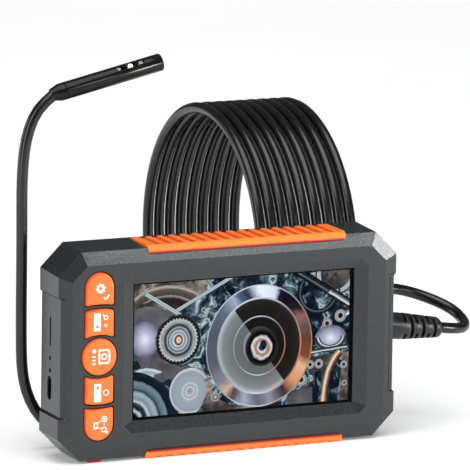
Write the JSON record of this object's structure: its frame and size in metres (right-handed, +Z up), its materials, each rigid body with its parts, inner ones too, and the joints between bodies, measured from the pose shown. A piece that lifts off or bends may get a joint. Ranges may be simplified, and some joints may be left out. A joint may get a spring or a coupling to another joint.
{
  "type": "inspection camera",
  "caption": "Handheld borescope: a rugged handset with a screen and a column of keys, on a long semi-rigid lead ending in a slim two-lens probe.",
  "frame": {"origin": "on the ground, under the middle of the handset, which stands on its lower grip", "axes": "+X to the right as the screen is read, +Y from the screen to the back, +Z up"},
  "size_m": [0.1958, 0.1521, 0.1554],
  "materials": {
    "shell_plastic": "fine moulded texture, dark grey",
    "orange_rubber": "orange, satin",
    "clear_glass": "clear, polished",
    "black_foam": "black foam, matt",
    "black_plastic": "black, glossy",
    "plated_steel": "plated, satin",
    "key_silicone": "grey silicone, matt",
    "board_green": "green solder mask",
    "battery_wrap": "blue shrink wrap",
    "connector_nylon": "natural nylon",
    "red_plastic": "dark red, satin",
    "cable_jacket": "black, glossy jacket",
    "boot_rubber": "black, satin",
    "probe_black": "black anodised, glossy",
    "led_yellow": "yellow phosphor under clear resin"
  },
  "bodies": {
    "housing": {"battery_cell": "battery_wrap", "battery_pad": "black_foam", "board_screw_1": "plated_steel", "board_screw_2": "plated_steel", "board_screw_3": "plated_steel", "board_screw_4": "plated_steel", "bottom_grip": "orange_rubber", "cable_clamp": "plated_steel", "cable_coil": "cable_jacket", "cable_lead": "cable_jacket", "camera_connector": "connector_nylon", "card_socket": "plated_steel", "case_screw_1": "plated_steel", "case_screw_2": "plated_steel", "case_screw_3": "plated_steel", "case_screw_4": "plated_steel", "charge_light": "clear_glass", "clamp_screw_1": "plated_steel", "clamp_screw_2": "plated_steel", "front_camera": "black_plastic", "front_led_board": "led_yellow", "front_shell": "shell_plastic", "front_window": "clear_glass", "inner_lead": "cable_jacket", "key_pad": "key_silicone", "key_switch_1": "plated_steel", "key_switch_2": "plated_steel", "key_switch_3": "plated_steel", "key_switch_4": "plated_steel", "key_switch_5": "plated_steel", "lcd_backlight": "plated_steel", "lcd_panel": "black_plastic", "main_board": "board_green", "microphone": "plated_steel", "power_switch_body": "plated_steel", "probe_board": "board_green", "probe_lead": "cable_jacket", "probe_sleeve": "probe_black", "probe_tail": "probe_black", "rear_shell": "shell_plastic", "screen_gasket": "black_foam", "screen_window": "clear_glass", "side_camera": "black_plastic", "side_led_1": "led_yellow", "side_led_2": "led_yellow", "strain_relief": "boot_rubber", "top_grip": "orange_rubber", "usb_socket": "plated_steel"},
    "menu_button": {"menu_button": "orange_rubber"},
    "zoom_button": {"zoom_button": "orange_rubber"},
    "shutter_button": {"shutter_button": "orange_rubber"},
    "rotate_button": {"rotate_button": "orange_rubber"},
    "lens_button": {"lens_button": "orange_rubber"},
    "memory_card": {"memory_card": "black_plastic"},
    "power_switch": {"power_switch": "red_plastic"}
  },
  "joints": [
    {"name": "menu_press", "type": "slide", "parent": "housing", "child": "menu_button", "axis": [0, 1, 0], "range_m": [0, 0.0008], "stiffness_N_per_m": 1200},
    {"name": "zoom_press", "type": "slide", "parent": "housing", "child": "zoom_button", "axis": [0, 1, 0], "range_m": [0, 0.0008], "stiffness_N_per_m": 1200},
    {"name": "shutter_press", "type": "slide", "parent": "housing", "child": "shutter_button", "axis": [0, 1, 0], "range_m": [0, 0.0008], "stiffness_N_per_m": 1200},
    {"name": "rotate_press", "type": "slide", "parent": "housing", "child": "rotate_button", "axis": [0, 1, 0], "range_m": [0, 0.0008], "stiffness_N_per_m": 1200},
    {"name": "lens_press", "type": "slide", "parent": "housing", "child": "lens_button", "axis": [0, 1, 0], "range_m": [0, 0.0008], "stiffness_N_per_m": 1200},
    {"name": "card_slide", "type": "slide", "parent": "housing", "child": "memory_card", "axis": [-1, 0, 0], "range_m": [0, 0.012]},
    {"name": "power_slide", "type": "slide", "parent": "housing", "child": "power_switch", "axis": [1, 0, 0], "range_m": [0, 0.003]}
  ]
}
